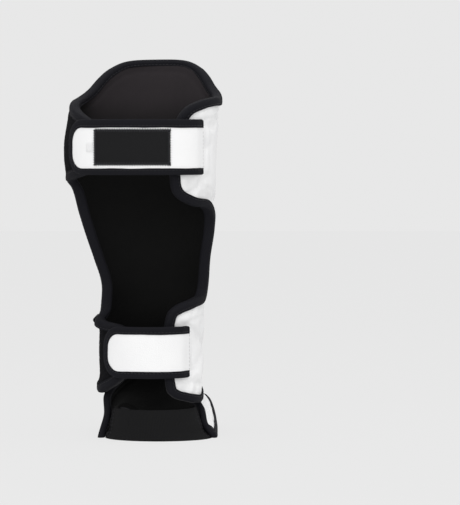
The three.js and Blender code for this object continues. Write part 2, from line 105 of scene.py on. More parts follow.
# Shell lining: one layer of brushed black cloth on the leg side of the shell, sewn in at the edge tape.
# It is cut to the shell's outline and lies on the leg's form, which pad, pile and straps are wrapped on too.
LEG_AXIS = np.array((9.72, -20.09, 0.0))
LINING_THICKNESS = 2.0
LAYER_GAP = 0.6
WING_THICKNESS = 9.5
SECTION_DEPTH_RATIO = 0.92
LEG_SECTIONS = np.array(
    [
        (36, 0.5, 60.0, 43.0),
        (73, -1.1, 58.2, 44.0),
        (107, -1.9, 57.1, 46.0),
        (134, -1.1, 58.6, 47.5),
        (146, 0.0, 59.6, 48.4),
        (174, 3.2, 61.8, 50.0),
        (203, 0.0, 67.3, 51.0),
        (230, -2.3, 73.8, 52.0),
        (254, -4.8, 78.4, 53.0),
        (272, -8.6, 79.2, 53.5),
        (298, -13.0, 83.4, 54.0),
        (332, -13.0, 84.2, 55.5),
        (358, -10.5, 84.5, 57.0),
        (381, -7.0, 87.0, 59.5),
        (434, 3.0, 88.0, 66.0),
    ],
    dtype=[("height", float), ("middle", float), ("half_width", float), ("front", float)],
)
# The lips of the left wings curl away from the leg: where, how wide and tall, and by how much.
WING_LIPS = [
    {"angle": -108.0, "height": 292.0, "wide": 22.0, "tall": 6.0, "rise": 4.5},
    {"angle": -106.0, "height": 134.0, "wide": 24.0, "tall": 7.0, "rise": 10.5},
    {"angle": -98.0, "height": 56.0, "wide": 22.0, "tall": 10.0, "rise": 5.5},
]
# The outline as angle and height: over the domed top, down the right side, along the arched bottom and
# up the left side.
SHELL_TOP = [
    (-141, 353), (-128, 362), (-108, 371.5), (-88, 380), (-69, 386), (-55.5, 395), (-46.5, 408),
    (-37, 419), (-23, 427.6), (0, 429.8), (25, 428.6), (41, 420.2), (52, 410.3), (63, 399.2),
    (78, 391), (94, 386), (113, 384), (130, 380), (143, 371),
]
SHELL_RIGHT = [
    (149, 350), (151, 298), (148, 277), (132, 266), (112, 262), (99, 246), (97, 212), (97, 180),
    (103, 163), (126, 157), (149, 150), (159, 133), (159, 66),
]
SHELL_BOTTOM = [
    (152, 51), (134, 45.5), (112, 42), (92, 43.5), (62, 56), (30, 78), (0, 90.5), (-30, 86), (-62, 70),
    (-95, 53), (-120, 59), (-143, 71),
]
SHELL_LEFT = [
    (-154, 88), (-154, 118), (-141, 128), (-116, 133), (-99, 146), (-96, 176), (-96, 224), (-97, 274),
    (-104, 292), (-122, 298), (-139, 304), (-147, 318), (-147, 340),
]
DEGREE_LENGTH = 1.15  # of a flat pattern, for a degree round the leg
OUTLINE_STEP = 2.4
PANEL_TUCK = 4.5
SEAM_MERGE = 0.02
SMOOTH_BELOW = 50.0
LINING_CELL = 2.2
LINING_RIPPLE = 0.5
LINING_RIPPLE_LENGTH = 70.0
LINING_SEAM_INSET = 12.5
LINING_SEAM_WIDTH = 1.6
LINING_SEAM_DEPTH = 0.9


def smooth(at, knots, values):
    """A smooth curve through a table's values, as steep in each row as its two neighbours ask."""
    at = np.clip(at, knots[0], knots[-1])
    width = np.diff(knots)
    slope = np.diff(values) / width
    steep = np.concatenate((slope[:1], (slope[:-1] + slope[1:]) / 2, slope[-1:]))
    row = np.clip(np.searchsorted(knots, at) - 1, 0, len(width) - 1)
    t = (at - knots[row]) / width[row]
    rise = values[row] + (values[row + 1] - values[row]) * t * t * (3 - 2 * t)
    bend = steep[row] * (1 - t) - steep[row + 1] * t
    return rise + width[row] * t * (1 - t) * bend


def unit(ways):
    """The same ways, each of length one."""
    return ways / np.linalg.norm(ways, axis=-1, keepdims=True)


def from_middle(angle, height, oval):
    """How far points are from the middle of an oval on the leg, its rim being at 1."""
    return np.hypot((angle - oval["angle"]) / oval["wide"], (height - oval["height"]) / oval["tall"])


def leg_point(angle, height, depth):
    """The point at an angle and height round the leg, that far outside the lining's inner face."""
    def section(column):
        return smooth(height, LEG_SECTIONS["height"], LEG_SECTIONS[column])

    across = section("half_width") - LINING_THICKNESS - LAYER_GAP - WING_THICKNESS
    along = across * SECTION_DEPTH_RATIO
    turn = np.radians(angle)
    normal = unit(np.stack((np.sin(turn) / across, np.cos(turn) / along), -1))
    for lip in WING_LIPS:
        depth = depth + lip["rise"] * np.exp(-(from_middle(angle, height, lip) ** 2))
    x = section("middle") + across * np.sin(turn) + normal[..., 0] * depth
    y = section("front") - along + along * np.cos(turn) + normal[..., 1] * depth
    return np.stack((x, y, height + 0 * x), -1) + LEG_AXIS


def closed_curve(rows, pieces=12):
    """A smooth closed curve through the rows of a table."""
    rows = np.array(rows, float)
    t = np.linspace(0, 1, pieces, endpoint=False)[None, :, None]
    before, start, end, after = (np.roll(rows, k, axis=0)[:, None] for k in (1, 0, -1, -2))
    leave = (end - before) / 2
    arrive = (after - start) / 2
    cubic = 2 * start - 2 * end + leave + arrive
    square = 3 * end - 3 * start - 2 * leave - arrive
    return (((cubic * t + square) * t + leave) * t + start).reshape(-1, 2)


def run_of(path):
    """How far along a path each of its points is."""
    return np.concatenate(([0], np.cumsum(np.linalg.norm(np.diff(path, axis=0), axis=1))))


def at_run(distance, run, values):
    """The values of a path's points, taken at distances along it."""
    return np.stack([np.interp(distance, run, column) for column in values.T], -1)


def even_loop(loop, surface, step):
    """The same loop with its points evenly spaced on the surface."""
    ring = np.concatenate((loop, loop[:1]))
    run = run_of(surface(*ring.T, 0))
    return at_run(np.linspace(0, run[-1], int(run[-1] / step), endpoint=False), run, ring)


def to_outline(points, outline, surface):
    """How far each pattern point is from the outline once wrapped, and its nearest outline point."""
    here = surface(*points.T, 0)
    edge = surface(*outline.T, 0)
    distance = np.full(len(here), np.inf)
    nearest = np.zeros(len(here), int)
    for k, place in enumerate(edge):
        away = np.linalg.norm(here - place, axis=1)
        closer = away < distance
        distance[closer] = away[closer]
        nearest[closer] = k
    return distance, outline[nearest]


def inside(points, outline):
    """Which pattern points lie inside the outline."""
    odd = np.zeros(len(points), bool)
    x, y = points.T
    for (x1, y1), (x2, y2) in zip(outline, np.roll(outline, -1, axis=0)):
        if y1 != y2:
            odd ^= ((y1 > y) != (y2 > y)) & (x < (x2 - x1) * (y - y1) / (y2 - y1) + x1)
    return odd


def values_of(items, field, kind=float, width=1):
    """One field of a mesh's vertices, edges, corners or map points, as an array."""
    values = np.zeros(len(items) * width, kind)
    items.foreach_get(field, values)
    return values if width == 1 else values.reshape(-1, width)


def corners_of(piece):
    """The vertex at each corner of the piece's faces."""
    return values_of(piece.data.loops, "vertex_index", int)


def points_of(piece):
    """The piece's vertices, in millimetres."""
    return values_of(piece.data.vertices, "co", width=3) / MM


def move_points(piece, places):
    """Puts the piece's vertices at these places, in millimetres."""
    piece.data.vertices.foreach_set("co", (places * MM).ravel())
    piece.data.update()


def set_pattern(piece, pattern):
    """Gives the piece a UV map of its flat pattern, in metres, from a point for each vertex."""
    maps = piece.data.uv_layers
    flat = maps[0] if maps else maps.new(name="pattern")
    flat.data.foreach_set("uv", (pattern[corners_of(piece)] * MM).ravel())


def cut_sheet(name, columns, rows):
    """A flat sheet of that many cells, and its vertices as shares from 0 to 1 across and up."""
    bpy.ops.object.select_all(action="DESELECT")
    bpy.ops.mesh.primitive_grid_add(x_subdivisions=columns, y_subdivisions=rows, size=1)
    sheet = bpy.context.object
    sheet.name = sheet.data.name = name
    return sheet, points_of(sheet)[:, :2] * MM + 0.5


def pick(piece):
    """Selects the piece and nothing else."""
    bpy.ops.object.select_all(action="DESELECT")
    piece.select_set(True)
    bpy.context.view_layer.objects.active = piece


def in_edit_mode(piece, *steps):
    """Runs edit-mode steps on all of the piece."""
    pick(piece)
    bpy.ops.object.mode_set(mode="EDIT")
    bpy.ops.mesh.select_all(action="SELECT")
    for step in steps:
        step()
    bpy.ops.object.mode_set(mode="OBJECT")


def merge_seams():
    """Closes seams where two edges of a sheet meet."""
    bpy.ops.mesh.remove_doubles(threshold=SEAM_MERGE * MM)


def face_outwards():
    """Turns every face of a closed piece to its outside."""
    bpy.ops.mesh.normals_make_consistent(inside=False)


def apply(piece, kind, **settings):
    """Adds a modifier and applies it."""
    modifier = piece.modifiers.new(kind.lower(), kind)
    for name, value in settings.items():
        setattr(modifier, name, value)
    bpy.context.view_layer.objects.active = piece
    bpy.ops.object.modifier_apply(modifier=modifier.name)


def thicken(piece):
    """Doubles the sheet and joins its layers round the edge, with the second layer's vertices last.

    Extruding would number the edges differently in each run, and the cloth simulation answers to that.
    """
    apply(piece, "SOLIDIFY", thickness=MM)


def cut_panel(name, outline, surface, cell, tuck):
    """A panel's sheet cut to an outline, its edge tucked that far in under the tape."""
    low = outline.min(0)
    high = outline.max(0)
    size = (high - low) * (DEGREE_LENGTH, 1)
    columns, rows = (int(length / cell) for length in size)
    panel, share = cut_sheet(name, columns, rows)
    pattern = low + share * (high - low)
    distance, nearest = to_outline(pattern, outline, surface)
    kept = inside(pattern, outline) & (distance > tuck + cell / 2)
    cells = corners_of(panel).reshape(-1, 4)
    whole = kept[cells].all(1)
    left = np.zeros(len(pattern), bool)
    left[cells[whole]] = True
    bpy.ops.object.mode_set(mode="EDIT")
    bpy.ops.mesh.select_mode(type="FACE")
    bpy.ops.mesh.select_all(action="DESELECT")
    bpy.ops.object.mode_set(mode="OBJECT")
    panel.data.polygons.foreach_set("select", ~whole)
    bpy.ops.object.mode_set(mode="EDIT")
    bpy.ops.mesh.delete(type="FACE")
    bpy.ops.object.mode_set(mode="OBJECT")
    pattern, distance, nearest = pattern[left], distance[left], nearest[left]
    rim = rim_of(panel)
    pull = 1 - tuck / distance[rim]
    pattern[rim] += (nearest[rim] - pattern[rim]) * pull[:, None]
    return panel, pattern


def rim_of(panel):
    """The vertices on a sheet's free edge."""
    ends = values_of(panel.data.edges, "vertices", int, width=2)
    faces = np.bincount(values_of(panel.data.loops, "edge_index", int), minlength=len(ends))
    return np.unique(ends[faces == 1])


def wave(points, length, seed):
    """A soft uneven wave over points, about that long, between -1 and 1."""
    draw = np.random.default_rng(seed)
    total = 0
    for size in (1.0, 0.61, 0.37):
        way = unit(draw.normal(size=(3, 3)))
        shift = draw.uniform(0, 2 * math.pi, 3)
        ridges = np.sin(points @ way.T * (2 * math.pi / (length * size)) + shift)
        total = total + ridges.mean(1) * size
    return total


shell_outline = even_loop(
    closed_curve(SHELL_TOP + SHELL_RIGHT + SHELL_BOTTOM + SHELL_LEFT), leg_point, OUTLINE_STEP
)


class Socket:
    """An output of a material's nodes, on which arithmetic adds Math nodes."""

    def __init__(self, tree, output=None):
        self.tree = tree
        self.output = output

    def node(self, kind, settings=None, inputs=None, output=0):
        """Adds a node: its settings first, then the values or links of its sockets."""
        made = self.tree.nodes.new(kind)
        for name, value in (settings or {}).items():
            setattr(made, name, value)
        for name, value in (inputs or {}).items():
            if isinstance(value, Socket):
                self.tree.links.new(value.output, made.inputs[name])
            else:
                made.inputs[name].default_value = value
        return Socket(self.tree, made.outputs[output])

    def math(self, operation, *values):
        return self.node("ShaderNodeMath", {"operation": operation}, dict(enumerate(values)))

    def __add__(self, other):
        return self.math("ADD", self, other)

    __radd__ = __add__

    def __mul__(self, other):
        return self.math("MULTIPLY", self, other)

    __rmul__ = __mul__

    def __sub__(self, other):
        return self.math("SUBTRACT", self, other)

    def __rsub__(self, other):
        return self.math("SUBTRACT", other, self)

    def rows(self, pitch):
        """Ridges from 0 to 1 across this coordinate, that far apart in millimetres."""
        return self.math("SINE", self * (2 * math.pi / (pitch * MM))) * 0.5 + 0.5

    def noise(self, scale, detail=2.0, roughness=0.5):
        """Noise from 0 to 1 at these coordinates."""
        grain = {"Vector": self, "Scale": scale, "Detail": detail, "Roughness": roughness}
        return self.node("ShaderNodeTexNoise", inputs=grain)

    def stretched(self, x, y, z):
        """These coordinates, scaled along each axis."""
        return self.node("ShaderNodeMapping", inputs={"Vector": self, "Scale": (x, y, z)})

    def part(self, name):
        """One part of these coordinates, X, Y or Z."""
        return self.node("ShaderNodeSeparateXYZ", inputs={"Vector": self}, output=name)

    def mix(self, dark, light):
        """A colour between two, by this value."""
        dark, light = (end if isinstance(end, Socket) else (*end, 1) for end in (dark, light))
        ends = {0: self, 6: dark, 7: light}
        return self.node("ShaderNodeMix", {"data_type": "RGBA"}, ends, output=2)

    def step(self, low, high):
        """0 where this value is below low and 1 where it is above high, smooth between."""
        ends = {"Value": self, "From Min": low, "From Max": high}
        return self.node("ShaderNodeMapRange", {"interpolation_type": "SMOOTHSTEP"}, ends)

    def between(self, low, high):
        """This value from 0 to 1, as a number between two."""
        return low + self * (high - low)


class Finish(Socket):
    """A material and its coordinates: object places and the flat pattern, both in metres."""

    def __init__(self, name, **constants):
        self.material = bpy.data.materials.new(name)
        self.material.use_nodes = True
        super().__init__(self.material.node_tree)
        self.shader = self.tree.nodes["Principled BSDF"]
        for socket, value in constants.items():
            self.shader.inputs[socket.replace("_", " ")].default_value = value
        self.places = self.node("ShaderNodeTexCoord", output="Object")
        self.pattern = self.node("ShaderNodeUVMap")

    def shade(self, colour, roughness, height, depth):
        """Links what varies over the surface. The relief is that deep, in millimetres."""
        relief = {"Height": height, "Distance": depth * MM}
        bump = self.node("ShaderNodeBump", inputs=relief)
        for socket, value in {"Base Color": colour, "Roughness": roughness, "Normal": bump}.items():
            self.tree.links.new(value.output, self.shader.inputs[socket])
        return self.material


def brushed_lining():
    """Black brushed cloth with a short nap and uneven streaks along the leg; its colour holds painted light,
    paler and browner in the dome, and painted shade, darker towards the bottom.
    """
    cloth = Finish("brushed_lining", Specular_IOR_Level=0.05)
    nap = cloth.places.stretched(1, 1, 0.45).noise(2600, 3, 0.6)
    streaks = cloth.places.stretched(1, 1, 0.25).noise(46, 4, 0.6)
    patches = cloth.places.noise(17, 3, 0.55)
    tone = nap * 0.35 + streaks * 0.35 + patches * 0.3
    height = cloth.places.part("Z")
    # Painted shade: the cloth's colour turns darker towards the bottom, deep inside the shell.
    plain = height.step(0.085, 0.17).mix((0.0019, 0.0019, 0.0019), (0.0075, 0.0075, 0.0074))
    # Painted light: the dome above the upper strap is paler and browner, except at the far left.
    painted_dome_light = height.step(0.335, 0.395) * cloth.places.part("X").step(-0.072, -0.054)
    colour = (painted_dome_light * (tone + 0.5)).mix(plain, (0.0265, 0.0232, 0.0252))
    return cloth.shade(colour, streaks.between(0.82, 0.98), nap * 0.6 + streaks * 0.4, 0.35)


def finished(piece, material, slot, *nodes):
    """Gives a piece its material, and has it stand for its nodes on the guard's one body."""
    piece.data.materials.clear()
    piece.data.materials.append(material)
    pick(piece)
    bpy.ops.object.shade_smooth_by_angle(angle=math.radians(SMOOTH_BELOW))
    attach(piece, "root")
    if nodes:
        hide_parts(*nodes)


def lay_lining(piece, pattern, surface, outline):
    """Lays a lining's two faces on a surface, with soft uneven ripples on the leg side."""
    set_pattern(piece, pattern * (DEGREE_LENGTH, 1))
    thicken(piece)
    distance, _ = to_outline(pattern, outline, surface)
    from_seam = (distance - LINING_SEAM_INSET) / LINING_SEAM_WIDTH
    ripple = LINING_RIPPLE * wave(surface(*pattern.T, 0), LINING_RIPPLE_LENGTH, seed=3)
    ripple = ripple + LINING_SEAM_DEPTH * np.exp(-(from_seam**2))
    move_points(piece, np.concatenate((surface(*pattern.T, ripple), surface(*pattern.T, LINING_THICKNESS))))
    in_edit_mode(piece, face_outwards)


lining_cloth = brushed_lining()
shin_lining, lining_pattern = cut_panel("shin_lining", shell_outline, leg_point, LINING_CELL, PANEL_TUCK)
lay_lining(shin_lining, lining_pattern, leg_point, shell_outline)
finished(shin_lining, lining_cloth, "black_lining", "shin_lining")

# Shell pad: moulded foam under white synthetic leather, thick over the shin bone and thin on the wings.
# The leather is held by the edge tape and by a seam inside it, and swells and puckers between them.
SHIN_EDGE_THICKNESS = 7.0
SHIN_THICKNESS = 24.0
SHIN_HALF_ANGLE = 40.0
WING_ANGLE = 88.0
CROWN_START = 9.9
CROWN_WIDTH = 34.0
PAD_CELL = 3.6
PAD_BASE = LINING_THICKNESS + LAYER_GAP
TAPE_HOLD = CROWN_START + 1.0
SEAM_INSET = 21.0
SEAM_WIDTH = 1.9
SEAM_DEPTH = 2.2
WING_SLACK = 0.6
WING_SLACK_SPREAD = 20.0
SWELL_FRAMES = 20
SWELL_LIMIT = 2.6
PILE_ANGLE = -78.0
# Creases of the right wings, in degrees and millimetres of height: one curled round the upper wing's lower
# corner and fading above it and behind it, a dimple inside the curl, and soft folds down the sides.
CURL = {
    "angle": 142.0, "height": 298.0, "wide": 18.0, "tall": 20.0, "sharp": 0.10, "depth": 1.9,
    "fade_above": (-6, 4), "fade_behind": (-8, 2),
}
DIMPLE = {"angle": 135.0, "height": 292.0, "wide": 4.0, "tall": 9.0, "depth": 2.8}
FOLDS = [
    {"angle": 121.0, "wide": 2.4, "low": 268.0, "high": 378.0, "depth": 1.0},
    {"angle": 112.0, "wide": 2.2, "low": 262.0, "high": 370.0, "depth": 0.8},
    {"angle": 127.0, "wide": 2.4, "low": 52.0, "high": 156.0, "depth": 0.9},
]
FOLD_FADE = 15.0


def crown(pattern, outline, surface, edge, full):
    """How far a pad's outer face stands outside the lining's inner face, and the way to the edge."""
    distance, _ = to_outline(pattern, outline, surface)
    swell = np.sin(np.clip((distance - CROWN_START) / CROWN_WIDTH, 0, 1) * math.pi / 2)
    return PAD_BASE + edge + (full - edge) * swell, distance


def eased(value, low, high):
    """0 below low and 1 above high, with a smooth step between."""
    t = np.clip((value - low) / (high - low), 0, 1)
    return t * t * (3 - 2 * t)


def shin_face(pattern):
    """The shell pad's outer face."""
    thin = eased(np.abs(pattern[:, 0]), SHIN_HALF_ANGLE, WING_ANGLE)
    full = SHIN_THICKNESS + (WING_THICKNESS - SHIN_THICKNESS) * thin
    return crown(pattern, shell_outline, leg_point, SHIN_EDGE_THICKNESS, full)


def pattern_of(piece):
    """The flat pattern's point of each vertex, in millimetres."""
    pattern = np.zeros((len(piece.data.vertices), 2))
    pattern[corners_of(piece)] = values_of(piece.data.uv_layers[0].data, "uv", width=2) / MM
    return pattern


def swell(pad, sewn):
    """Blows up a pad's leather between the vertices that are sewn down, by cloth simulation."""
    start = points_of(pad)
    held = pad.vertex_groups.new(name="sewn")
    held.add(np.flatnonzero(sewn).tolist(), 1.0, "REPLACE")
    cloth = pad.modifiers.new("swell", "CLOTH")
    leather = cloth.settings
    leather.vertex_group_mass = held.name
    leather.quality = 5
    leather.mass = 0.4
    leather.tension_stiffness = leather.compression_stiffness = 25
    leather.bending_stiffness = 1.2
    leather.shrink_min = -0.035
    leather.use_pressure = True
    leather.uniform_pressure_force = 4.0
    leather.effector_weights.gravity = 0
    for step in range(1, SWELL_FRAMES + 1):
        scene.frame_set(step)
    bpy.context.view_layer.objects.active = pad
    bpy.ops.object.modifier_apply(modifier=cloth.name)
    scene.frame_set(1)
    moved = points_of(pad) - start
    length = np.linalg.norm(moved, axis=1, keepdims=True)
    move_points(pad, start + moved * np.minimum(1, SWELL_LIMIT / np.maximum(length, 1e-6)))


def shin_leather(pattern):
    """How tight the seam is, slacker on the wings, and how deep the right wings' leather is creased."""
    angle, height = pattern.T
    shown = eased(CURL["height"] - height, *CURL["fade_above"])
    shown = shown * eased(CURL["angle"] - angle, *CURL["fade_behind"])
    from_curl = (from_middle(angle, height, CURL) - 1) / CURL["sharp"]
    depth = CURL["depth"] * shown * np.exp(-(from_curl**2))
    depth = depth + DIMPLE["depth"] * np.exp(-(from_middle(angle, height, DIMPLE) ** 2))
    for fold in FOLDS:
        shown = eased(height, fold["low"], fold["low"] + FOLD_FADE)
        shown = shown * (1 - eased(height, fold["high"] - FOLD_FADE, fold["high"]))
        depth = depth + fold["depth"] * shown * np.exp(-(((angle - fold["angle"]) / fold["wide"]) ** 2))
    slack = WING_SLACK * eased(np.abs(angle), WING_ANGLE, WING_ANGLE + WING_SLACK_SPREAD)
    return 1 - slack, depth


def instep_leather(pattern):
    """The tongue's leather: its seam is tight all round, with no creases."""
    return 1, 0


def stuff_pad(pad, pattern, surface, face, distance, sewn, leather_at):
    """Turns a cut panel into a pad between the lining and its crowned face, swells it and sews its seam."""
    set_pattern(pad, pattern * (DEGREE_LENGTH, 1))
    thicken(pad)
    move_points(pad, np.concatenate((surface(*pattern.T, PAD_BASE), surface(*pattern.T, face))))
    in_edit_mode(pad, face_outwards)
    outside = pad.data.attributes.new("outside", "FLOAT", "POINT")
    outside.data.foreach_set("value", np.repeat((0.0, 1.0), len(pattern)))
    edge_way = pad.data.attributes.new("edge_way", "FLOAT", "POINT")
    edge_way.data.foreach_set("value", np.tile(distance, 2))
    swell(pad, np.concatenate((np.ones(len(pattern), bool), sewn)))
    apply(pad, "SUBSURF", levels=1, render_levels=1)
    share = values_of(pad.data.attributes["outside"].data, "value")
    from_seam = (values_of(pad.data.attributes["edge_way"].data, "value") - SEAM_INSET) / SEAM_WIDTH
    tight, creases = leather_at(pattern_of(pad) / (DEGREE_LENGTH, 1))
    groove = share * (SEAM_DEPTH * tight * np.exp(-(from_seam**2)) + creases)
    normals = values_of(pad.data.vertices, "normal", width=3)
    move_points(pad, points_of(pad) - normals * groove[:, None])


def white_leather():
    """White synthetic leather: a fine pebble grain, a soft gloss and a faint cool and warm drift."""
    hide = Finish("white_leather", Specular_IOR_Level=0.42, Coat_Weight=0.06, Coat_Roughness=0.3)
    grain = {"Vector": hide.places, "Scale": 900.0}
    pebble = hide.node("ShaderNodeTexVoronoi", {"feature": "SMOOTH_F1"}, grain)
    pores = hide.places.noise(2400, 2, 0.5)
    drift = hide.places.noise(14, 3, 0.5)
    handled = hide.places.noise(60, 4, 0.6)
    colour = (drift * 0.7 + handled * 0.3).mix((0.80, 0.80, 0.81), (0.90, 0.90, 0.895))
    return hide.shade(colour, handled.between(0.36, 0.54), pebble * 0.75 + pores * 0.25, 0.22)


leather = white_leather()
shin_pad, pad_pattern = cut_panel("shin_pad", shell_outline, leg_point, PAD_CELL, PANEL_TUCK)
pad_face, pad_edge_way = shin_face(pad_pattern)
at_seam = np.abs(pad_edge_way - SEAM_INSET) < PAD_CELL / 2
on_shin = np.abs(pad_pattern[:, 0]) < WING_ANGLE
under_pile = pad_pattern[:, 0] < PILE_ANGLE
pad_sewn = (pad_edge_way < TAPE_HOLD) | (at_seam & on_shin) | under_pile
stuff_pad(shin_pad, pad_pattern, leg_point, pad_face, pad_edge_way, pad_sewn, shin_leather)
finished(shin_pad, leather, "white_leather", "shin_pad")

# Shell binding: black woven tape folded over the raw edge of pad and lining and run all the way round
# the shell, sewn through with one row of black thread on each face.
TAPE_LEG_SIDE = 6.2
TAPE_OUTSIDE = 8.0
TAPE_OVERHANG = 1.5
TAPE_PROUD = 1.2
TAPE_STITCH = 0.74
# One face of the folded tape, from its inner edge to the fold: the share of the tape's width in from the
# edge, and how far it lies below its flat.
TAPE_FACE = [
    (1.0, 1.1), (0.985, 0.25), (0.88, 0.0), (TAPE_STITCH, 0.34), (0.6, 0.0), (0.3, 0.05), (0.03, 0.8),
    (-0.14, 2.3),
]
TAPE_WAY_POINTS = 3  # to each side, between which the tape's way along the edge is taken
TAPE_PUCKER = 0.28
TAPE_PUCKER_LENGTH = 26.0
TAPE_PUCKER_FROM = 4.0
TAPE_PUCKER_OUTWARDS = 0.5
STITCH_PITCH = 4.2
STITCH_LENGTH = 3.1
STITCH_RADIUS = 0.38
STITCH_SUNK = 0.2
STITCH_BLUNTNESS = 0.6


def edge_frames(outline, surface):
    """Places along an outline on a surface, with the ways in from the edge and outwards."""
    edge = surface(*outline.T, 0)
    out = unit(surface(*outline.T, 1) - edge)
    along = np.roll(edge, -TAPE_WAY_POINTS, axis=0) - np.roll(edge, TAPE_WAY_POINTS, axis=0)
    return edge, unit(np.cross(out, unit(along))), out


def tape_section(low, high):
    """The closed section of a folded tape: how far in from the edge, and how far out of the lining."""
    near = [(TAPE_LEG_SIDE * share, low + rise) for share, rise in TAPE_FACE]
    far = [(TAPE_OUTSIDE * share, high - rise) for share, rise in reversed(TAPE_FACE)]
    return closed_curve(near + [(-TAPE_OVERHANG, (low + high) / 2)] + far, pieces=3)


def sweep(name, rings, run, girth, closed=True):
    """A band through rings of points, with its ends joined if closed and a flat pattern of its real size."""
    columns = len(rings) if closed else len(rings) - 1
    rows = len(rings[0])
    band, share = cut_sheet(name, columns, rows)
    ring = np.rint(share[:, 0] * columns).astype(int) % len(rings)
    spot = np.rint(share[:, 1] * rows).astype(int) % rows
    set_pattern(band, share * (run, girth))
    move_points(band, rings[ring, spot])
    in_edit_mode(band, merge_seams, face_outwards)
    return band


def bind_edge(name, outline, surface, edge_thickness, seed):
    """Tape folded round a panel's edge, with its uneven pull."""
    edge, inwards, out = edge_frames(outline, surface)
    section = tape_section(-TAPE_PROUD, PAD_BASE + edge_thickness + TAPE_PROUD)
    inset, rise = section[None, :, :1], section[None, :, 1:]
    pull = wave(edge, TAPE_PUCKER_LENGTH, seed)[:, None, None] * TAPE_PUCKER
    rings = edge[:, None] + inwards[:, None] * inset + out[:, None] * rise
    pulled = inwards[:, None] * (inset > TAPE_PUCKER_FROM) + TAPE_PUCKER_OUTWARDS * out[:, None]
    rings = rings + pulled * pull
    return sweep(name, rings, run_of(edge)[-1], run_of(section)[-1])


def sew(name, path, out, thread, closed=True, slot="black_tape"):
    """A row of stitches along a path, each a short rounded thread lying on the way out."""
    if closed:
        path = np.concatenate((path, path[:1]))
        out = np.concatenate((out, out[:1]))
    run = run_of(path)
    starts = np.arange(0, run[-1] - STITCH_LENGTH, STITCH_PITCH)
    first = at_run(starts, run, path)
    last = at_run(starts + STITCH_LENGTH, run, path)
    stitch_out = at_run(starts + STITCH_LENGTH / 2, run, out)
    lay_threads(name, first, last, stitch_out, thread, STITCH_RADIUS, slot)


def lay_threads(name, first, last, out, thread, radius, slot):
    """Short rounded threads from each first point to its last."""
    bpy.ops.object.select_all(action="DESELECT")
    bpy.ops.mesh.primitive_uv_sphere_add(segments=6, ring_count=5, radius=1)
    row = bpy.context.object
    row.name = row.data.name = name
    ball = points_of(row) * MM
    apply(row, "ARRAY", count=len(first), use_relative_offset=False, use_merge_vertices=False)
    half = (last - first) / 2
    side = unit(np.cross(out, unit(half)))
    up = np.cross(unit(half), side)
    across, over, along = (ball[None, :, k, None] for k in range(3))
    along = np.sign(along) * np.abs(along) ** STITCH_BLUNTNESS
    threads = ((first + last) / 2)[:, None] + half[:, None] * along
    threads = threads + radius * (side[:, None] * across + up[:, None] * over)
    move_points(row, threads.reshape(-1, 3))
    finished(row, thread, slot)


def sew_tape(name, outline, surface, edge_thickness, thread):
    """The binding's two rows of stitches, one on each face."""
    edge, inwards, out = edge_frames(outline, surface)
    proud = TAPE_PROUD - STITCH_SUNK
    near = edge + inwards * TAPE_STITCH * TAPE_LEG_SIDE - out * proud
    far = edge + inwards * TAPE_STITCH * TAPE_OUTSIDE + out * (PAD_BASE + edge_thickness + proud)
    sew(name + "_leg_side", near, -out, thread)
    sew(name + "_outside", far, out, thread)


def woven_tape():
    """Black binding tape: fine ribs across it, a bluish cast and dusty high spots."""
    tape = Finish("woven_tape", Specular_IOR_Level=0.12)
    ribs = tape.pattern.part("X").rows(1.1)
    wefts = tape.pattern.part("Y").rows(0.7)
    weave = (ribs - 0.5) * wefts + 0.5
    dust = tape.places.noise(90, 4, 0.6)
    colour = (weave * 0.45 + dust * 0.55).mix((0.0034, 0.0034, 0.0050), (0.0090, 0.0090, 0.0125))
    return tape.shade(colour, dust.between(0.62, 0.86), weave, 0.22)


def sewing_thread(name, tint):
    """Twisted sewing thread with a slight shine."""
    yarn = Finish(name, Specular_IOR_Level=0.25)
    twist = yarn.places.noise(1800, 2, 0.5)
    colour = twist.mix(tuple(0.6 * part for part in tint), tint)
    return yarn.shade(colour, twist.between(0.45, 0.7), twist, 0.1)


tape_cloth = woven_tape()
black_thread = sewing_thread("black_thread", (0.022, 0.022, 0.026))
# Grey thread for the strap bases: real stitches, whose grey is partly painted shade for the shadow gap where
# each strap's base meets the wing.
shade_grey_thread = sewing_thread("shade_grey_thread", (0.62, 0.62, 0.62))
shin_binding = bind_edge("shin_binding", shell_outline, leg_point, SHIN_EDGE_THICKNESS, seed=11)
finished(shin_binding, tape_cloth, "black_tape", "shin_binding")
sew_tape("shin_binding_stitches", shell_outline, leg_point, SHIN_EDGE_THICKNESS, black_thread)

# Pile panels: black loop pile of a touch fastener, one panel on the outside of each left wing, sewn flat
# on the leather up to the edge tape. The straps press onto them.
PILE_GAP = 0.5
PILE_THICKNESS = 1.2
PILE_CELL = 0.9
PILE_NAP = 0.22
PILE_NAP_LIMIT = 1.5
PILE_TUCK = 7.2
PILE_SUNK = 1.0
PILE_SLOPE = 4.0
# Each panel fills its wing from the tape to a straight edge at an angle, between two heights.
PILES = {
    "upper_pile": {"edge": -79.0, "low": 292.0, "high": 386.0},
    "lower_pile": {"edge": -81.0, "low": 40.0, "high": 141.0},
}


def loop_pile():
    """Black loop pile: a dense matt tangle of loops, greyer where it has been pulled."""
    pile = Finish("loop_pile", Specular_IOR_Level=0.06)
    loops = pile.node("ShaderNodeTexVoronoi", inputs={"Vector": pile.places, "Scale": 1100.0})
    fuzz = pile.places.noise(1500, 3, 0.7)
    pulled = pile.places.noise(70, 3, 0.6)
    colour = (loops * 0.5 + pulled * 0.5).mix((0.003, 0.003, 0.0036), (0.0095, 0.0095, 0.011))
    return pile.shade(colour, pulled.between(0.85, 1.0), loops * 0.6 + fuzz * 0.4, 0.5)


def lay_flat(piece, pattern, inner, outer):
    """Gives a cut sheet its two faces, inner and outer."""
    set_pattern(piece, pattern)
    thicken(piece)
    move_points(piece, np.concatenate((inner, outer)))
    in_edit_mode(piece, face_outwards)


